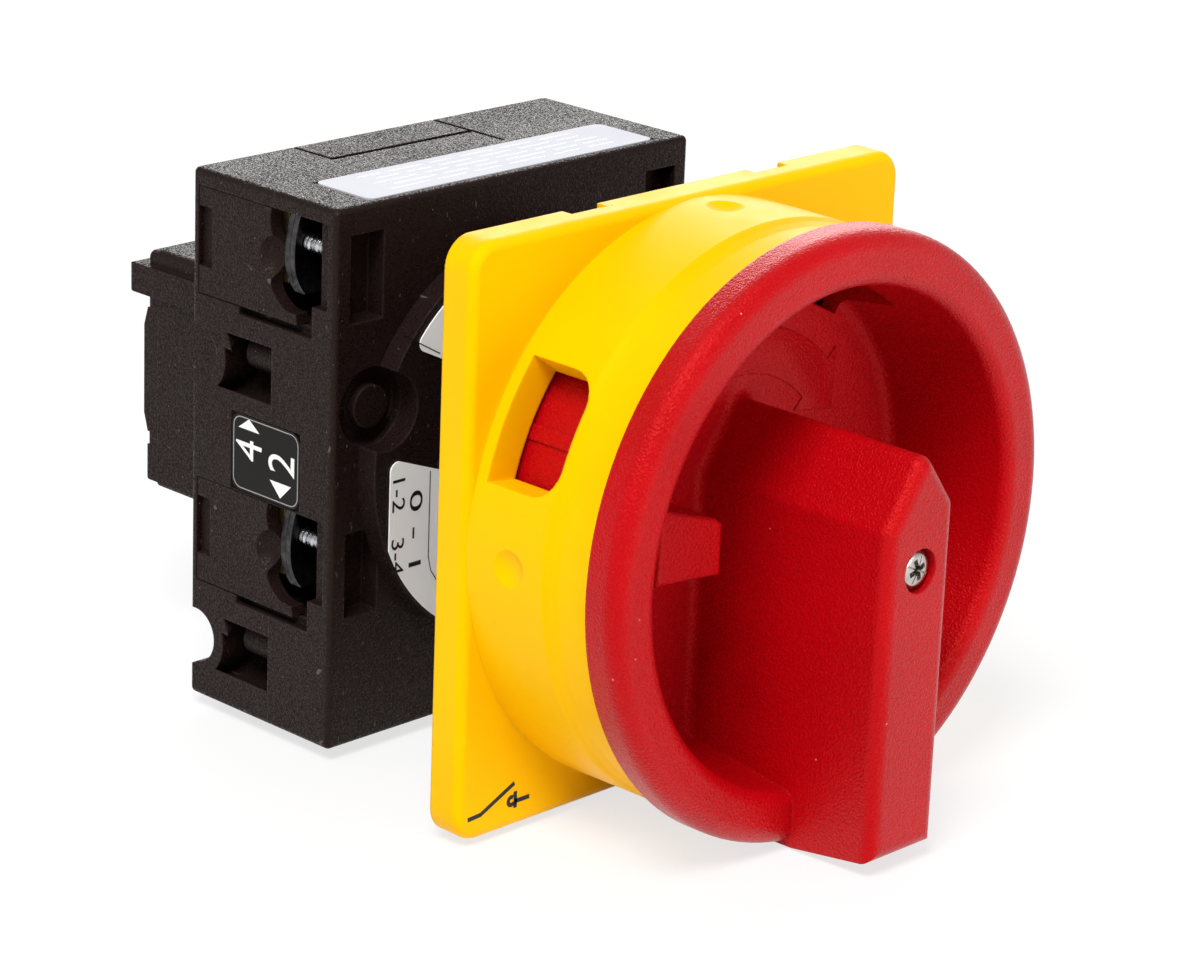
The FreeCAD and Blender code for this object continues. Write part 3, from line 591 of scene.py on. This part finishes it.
def makeContactSpring(letter, sizes):
    node = "contact_spring_" + letter
    low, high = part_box(node)
    length = high.z - low.z
    g = Graph("coilSpring", {**sizes, "Length": length})
    wire = g.size("Wire Radius")
    rise = g.maths("SUBTRACT", g.size("Length"), g.maths("MULTIPLY", wire, 2))
    coil = g.node("GeometryNodeCurveSpiral", None, {
        "Resolution": 40, "Rotations": g.size("Turns"), "Start Radius": g.size("Coil Radius"),
        "End Radius": g.size("Coil Radius"), "Height": rise}).outputs[0]
    section = g.node("GeometryNodeCurvePrimitiveCircle", None, {"Resolution": 14, "Radius": wire}).outputs[0]
    drawn = g.shifted(g.swept(coil, section), g.along(wire))
    spread = g.node("GeometryNodeInstanceOnPoints", None, {
        "Points": g.start.outputs[0], "Instance": drawn}).outputs[0]
    g.close(spread, finishes["spring_steel"])
    middle = (low.y + high.y) / 2
    spring = g.run("contactSpring" + letter.upper(), meshFrom([(0, middle, low.z)]), {"Length": length})
    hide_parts(node)
    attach(spring, "pole_" + letter)
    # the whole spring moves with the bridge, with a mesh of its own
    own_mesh(spring)


for letter in ("a", "b"):
    makeContactSpring(letter, contactSpring)
print("contact springs made")


# screw in the front of the grip, in metres
handleScrew = dict(head=0.0016, shank=0.00125, dome=0.0006, blade=0.0006, reach=0.00125, depth=0.0011,
                   tick=0.00016, tickDepth=0.00030)


def makeHandleScrew(look):
    low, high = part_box("handle_screw")
    radius = (high.x - low.x) / 2
    head = look["head"]
    shank = look["shank"]
    tip = low.y - high.y
    turns = [t * math.pi / 12 for t in range(1, 7)]
    profile = [(0, 0)] + [(radius * 0.82 * math.sin(a), -look["dome"] * 0.45 * (1 - math.cos(a))) for a in turns]
    base = profile[-1][1]
    profile += [(radius - 0.00012, base - 0.00018), (radius, base - 0.00045), (radius, -head), (shank, -head),
                (shank, tip), (0, tip)]
    screw = keepPiece("handleScrew", turnedMesh(profile, 72))
    cutters = []
    # two deep slots that taper, and two thin ticks between them
    for k, turn in enumerate((20, 110, 65, 155)):
        main = k < 2
        half = look["reach"] if main else look["reach"] * 1.25
        thin = look["blade"] / 2 if main else look["tick"] / 2
        deep = look["depth"] if main else look["tickDepth"]
        taper = 0.62 if main else 0.9
        points = [(x * s * half, y * thin * (1 if s == 1 else 0.7), z) for z, s in ((0.0004, 1), (-deep, taper))
                  for x, y in ((-1, -1), (1, -1), (1, 1), (-1, 1))]
        walls = [(0, 1, 2, 3), (7, 6, 5, 4), (0, 4, 5, 1), (1, 5, 6, 2), (2, 6, 7, 3), (3, 7, 4, 0)]
        blade = meshFrom(points, (), walls)
        blade.transform(Matrix.Rotation(math.radians(turn), 4, "Z"))
        build = bmesh.new()
        build.from_mesh(blade)
        bmesh.ops.recalc_face_normals(build, faces=build.faces)
        build.to_mesh(blade)
        build.free()
        cutters.append(keepPiece("blade", blade, 0))
    screw = carved(screw, cutters, 35)
    screw.data.transform(Matrix.Translation((0, low.y, 0)) @ Matrix.Rotation(math.radians(90), 4, "X"))
    screw.data.materials.clear()
    screw.data.materials.append(finishes["nickel_steel"])
    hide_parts("handle_screw")
    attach(screw, "turning_handle")


makeHandleScrew(handleScrew)
print("handle screw made")


# printed marks, in millimetres; only the plate's face is in metres
sideMarks = dict(left=("4", "2"), rightHand=("3", "1"), upperBox=(-4.5, -0.55, -0.6, 1.55),
                 lowerBox=(0.45, -0.75, 4.35, 1.35), corner=1.1, frameInset=0.28, frameWidth=0.11, thickness=0.02)
plateSign = dict(face=-0.0038, width=0.46, thickness=0.03)
roundPrint = dict(outerText="1-2   3-4", outerBox=(17.3, -11.0, 19.0, -0.9),
                  innerText="0 - 1", innerBox=(14.9, -10.6, 16.6, -2.6), width=0.12, thickness=0.03)
topPrint = dict(rows=5, top=2.8, pitch=1.3, left=-15.5, stagger=1.4, right=16,
                shortest=3.2, spread=2.6, gap=1.1, width=0.28, thickness=0.02)
blackLines = inkGraph(blackInk)
greyLines = inkGraph(makeInk("greyInk", (150, 148, 144)))
faintLines = inkGraph(makeInk("faintInk", (196, 200, 214), 0.45))


def onBody(piece, body):
    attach(piece, body)


def makeSideMarks(look):
    for side, node in (("left", "side_label_left"), ("rightHand", "side_label_right")):
        low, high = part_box(node)
        face = low.x if side == "left" else high.x
        place = facing(side, (face, (low.y + high.y) / 2, (low.z + high.z) / 2))
        width = (high.y - low.y) * 1000
        height = (high.z - low.z) * 1000
        inset = look["frameInset"]
        frameLine = chain(roundedFrame(width - 2 * inset, height - 2 * inset, look["corner"]))
        drawn = {"Width": look["frameWidth"], "Thickness": look["thickness"]}
        onBody(greyLines.run(side + "LabelFrame", frameLine, drawn, place), "base")
        digits = look[side]
        upper = printed(digits[0], look["upperBox"], 90, place, whiteInk, side + "UpperDigit")
        lower = printed(digits[1], look["lowerBox"], 90, place, whiteInk, side + "LowerDigit")
        upPoints = [(-4.15, 2.6), (-0.95, 2.6), (-2.55, 3.75)]
        downPoints = [(0.7, -1.75), (3.9, -1.75), (2.3, -3.35)]
        upArrow = plate(upPoints, look["thickness"], place, side + "UpperArrow", whiteInk)
        downArrow = plate(downPoints, look["thickness"], place, side + "LowerArrow", whiteInk)
        for piece in (upper, lower, upArrow, downArrow):
            onBody(piece, "base")


def makePlateSign(look):
    # the sign of a switch on the front plate: contact arm, pivot, fixed contact and lead
    place = facing("front", (0, look["face"], 0))
    knife = [(-28.6, -27.5), (-26.9, -27.4), (-22.4, -25.3)]
    loop = arcLine(-22.75, -27.1, 0.42, 55, 325, 12)
    bar = [(-22.25, -26.2), (-22.2, -27.95)]
    tail = [(-22.3, -27.25), (-20.3, -27.25)]
    drawn = {"Width": look["width"], "Thickness": look["thickness"]}
    onBody(blackLines.run("plateSign", chain(knife, loop, bar, tail), drawn, place), "base")


def makeRoundLabelPrint(look):
    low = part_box("round_label")[0]
    place = facing("front", (0, low.y, 0))
    drawn = {"Width": look["width"], "Thickness": look["thickness"]}
    for sign, name in ((-1, "left"), (1, "right")):
        divider = [(sign * 13.9, -0.9), (sign * 13.9, -10.0)] + \
                  [(sign * x, y) for x, y in ((13.5, -11.6), (12.4, -13.2), (10.8, -14.8))]
        upper = [(sign * 18.0, 14.0), (sign * 13.0, 11.2)]
        marks = blackLines.run(name + "LabelLines", chain(divider, upper), drawn, place)
        onBody(marks, "base")
        for ring in ("outer", "inner"):
            x0, y0, x1, y1 = look[ring + "Box"]
            box = (-x1, y0, -x0, y1) if sign < 0 else (x0, y0, x1, y1)
            pieceName = name + "Label" + ring.capitalize() + "Text"
            onBody(printed(look[ring + "Text"], box, -90, place, blackInk, pieceName), "base")


def makeTopLabelPrint(look):
    # rows of faint dashes of uneven length, in place of small print
    low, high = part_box("top_label")
    place = facing("top", ((low.x + high.x) / 2, (low.y + high.y) / 2, high.z))
    rows = []
    for k in range(look["rows"]):
        y = look["top"] - look["pitch"] * k
        x = look["left"] + look["stagger"] * (k % 2)
        while x < look["right"] - 1:
            length = look["spread"] * ((k * 7 + int(x) * 3) % 5) / 4
            end = min(x + look["shortest"] + length, look["right"])
            rows.append([(x, y), (end, y)])
            x = end + look["gap"]
    drawn = {"Width": look["width"], "Thickness": look["thickness"]}
    marks = faintLines.run("topLabelLines", chain(*rows), drawn, place)
    onBody(marks, "base")


makeSideMarks(sideMarks)
makePlateSign(plateSign)
makeRoundLabelPrint(roundPrint)
makeTopLabelPrint(topPrint)
print("printed marks made")


# raised arrow in the handle's dish: its floor in metres, its outline in millimetres and degrees
dishArrow = dict(floor=-0.0101, inner=13.2, outer=18.1, start=98, neck=44, tip=27, wide=1.6, height=0.12, bevel=0.05)


def makeDishArrow(look):
    place = facing("front", (0, look["floor"], 0))
    points = arcLine(0, 0, look["outer"], look["start"], look["neck"], 20)
    out = look["outer"] + look["wide"]
    mid = (look["outer"] + look["inner"]) / 2
    inn = look["inner"] - look["wide"]
    for radius, turn in ((out, look["neck"]), (mid, look["tip"]), (inn, look["neck"])):
        points.append((radius * math.cos(math.radians(turn)), radius * math.sin(math.radians(turn))))
    points += arcLine(0, 0, look["inner"], look["neck"], look["start"], 20)
    arrow = plate(points, look["height"], place, "dishArrow", finishes["red_plastic"], look["bevel"])
    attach(arrow, "turning_handle")


makeDishArrow(dishArrow)
print("turning arrow made")


# camera, light and floor, in metres, degrees and watts
viewLook = dict(place=(-0.28365, -0.26443, 0.13154), azimuth=-46.0415, height=18.8462, roll=2.2691,
                lens=123.63, shiftX=0.00754, shiftY=0.00362)
lampLook = {
    "keyLight": dict(place=(-0.46, -0.24, 0.74), target=(0, 0, 0), size=(0.35, 0.35), power=7.8),
    "frontLight": dict(place=(0.15, -0.92, 0.10), target=(0, 0, 0), size=(0.52, 0.30), power=2.8),
    "backLight": dict(place=(0.62, 0.62, 0.33), target=(0, 0.02, 0.02), size=(0.7, 0.42), power=4.0),
}
worldLevel = 0.45
floorLook = dict(halfWidth=3.0, gap=0.0001, shade=0.90, roughness=0.9, glow=0.72)


def makeCamera(look):
    az = math.radians(look["azimuth"])
    el = math.radians(look["height"])
    ro = math.radians(look["roll"])
    back = Vector((math.sin(az) * math.cos(el), -math.cos(az) * math.cos(el), math.sin(el)))
    side = Vector((math.cos(az), math.sin(az), 0))
    up = back.cross(side)
    right = math.cos(ro) * side + math.sin(ro) * up
    top = -math.sin(ro) * side + math.cos(ro) * up
    camera = bpy.data.objects.new("camera", bpy.data.cameras.new("camera"))
    bpy.context.collection.objects.link(camera)
    turn = Matrix((right, top, back)).transposed().to_4x4()
    camera.matrix_world = Matrix.Translation(look["place"]) @ turn
    camera.data.sensor_width = 36
    camera.data.lens = look["lens"]
    camera.data.shift_x = look["shiftX"]
    camera.data.shift_y = look["shiftY"]
    camera.data.clip_start = 0.01
    bpy.context.scene.camera = camera


def makeSoftbox(name, look):
    lamp = bpy.data.lights.new(name, "AREA")
    lamp.shape = "RECTANGLE"
    lamp.size, lamp.size_y = look["size"]
    lamp.energy = look["power"]
    holder = bpy.data.objects.new(name, lamp)
    bpy.context.collection.objects.link(holder)
    holder.location = look["place"]
    beam = Vector(look["target"]) - Vector(look["place"])
    holder.rotation_euler = beam.to_track_quat("-Z", "Y").to_euler()


def makeFloor(look):
    # paper under the object; it glows a little where the camera, a reflection or a see-through part shows it
    mesh = bpy.data.meshes.new("floor")
    w = look["halfWidth"]
    level = cadBox[0][2] - look["gap"]
    mesh.from_pydata([(-w, -w, level), (w, -w, level), (w, w, level), (-w, w, level)], [], [(0, 1, 2, 3)])
    floor = bpy.data.objects.new("floor", mesh)
    bpy.context.collection.objects.link(floor)
    m = Material("floorPaper", Roughness=look["roughness"])
    shade = look["shade"]
    m.set("Base Color", (shade, shade, shade, 1))
    rays = m.node("ShaderNodeLightPath").outputs
    seen = m.add("ShaderNodeMath", {"operation": "MAXIMUM"}, [rays["Is Camera Ray"], rays["Is Glossy Ray"]])
    seen = seen.maths("MAXIMUM", rays["Is Transmission Ray"])
    glow = m.node("ShaderNodeEmission", None, {"Color": (1, 1, 1, 1), "Strength": 1.0})
    mixed = m.node("ShaderNodeMixShader", None, [seen * look["glow"], m.shader.outputs[0], glow.outputs[0]])
    out = m.tree.nodes["Material Output"]
    m.tree.links.new(mixed.outputs[0], out.inputs["Surface"])
    mesh.materials.append(m.material)


def makeWorld(level):
    # a dim tent for lighting, seen as plain white by the camera and through see-through parts
    world = bpy.data.worlds.new("studio")
    bpy.context.scene.world = world
    world.use_nodes = True
    tree = world.node_tree
    rays = tree.nodes.new("ShaderNodeLightPath")
    most = tree.nodes.new("ShaderNodeMath")
    most.operation = "MAXIMUM"
    tree.links.new(rays.outputs["Is Camera Ray"], most.inputs[0])
    tree.links.new(rays.outputs["Is Transmission Ray"], most.inputs[1])
    plain = tree.nodes["Background"]
    plain.inputs[0].default_value = (1, 1, 1, 1)
    plain.inputs[1].default_value = level
    white = tree.nodes.new("ShaderNodeBackground")
    white.inputs[0].default_value = (1, 1, 1, 1)
    white.inputs[1].default_value = 1.0
    mixed = tree.nodes.new("ShaderNodeMixShader")
    tree.links.new(most.outputs[0], mixed.inputs[0])
    tree.links.new(plain.outputs[0], mixed.inputs[1])
    tree.links.new(white.outputs[0], mixed.inputs[2])
    tree.links.new(mixed.outputs[0], tree.nodes["World Output"].inputs[0])


bpy.context.scene.view_settings.view_transform = "Standard"
makeCamera(viewLook)
for lampName, lampSizes in lampLook.items():
    makeSoftbox(lampName, lampSizes)
makeWorld(worldLevel)
makeFloor(floorLook)
print("camera, light and floor set")
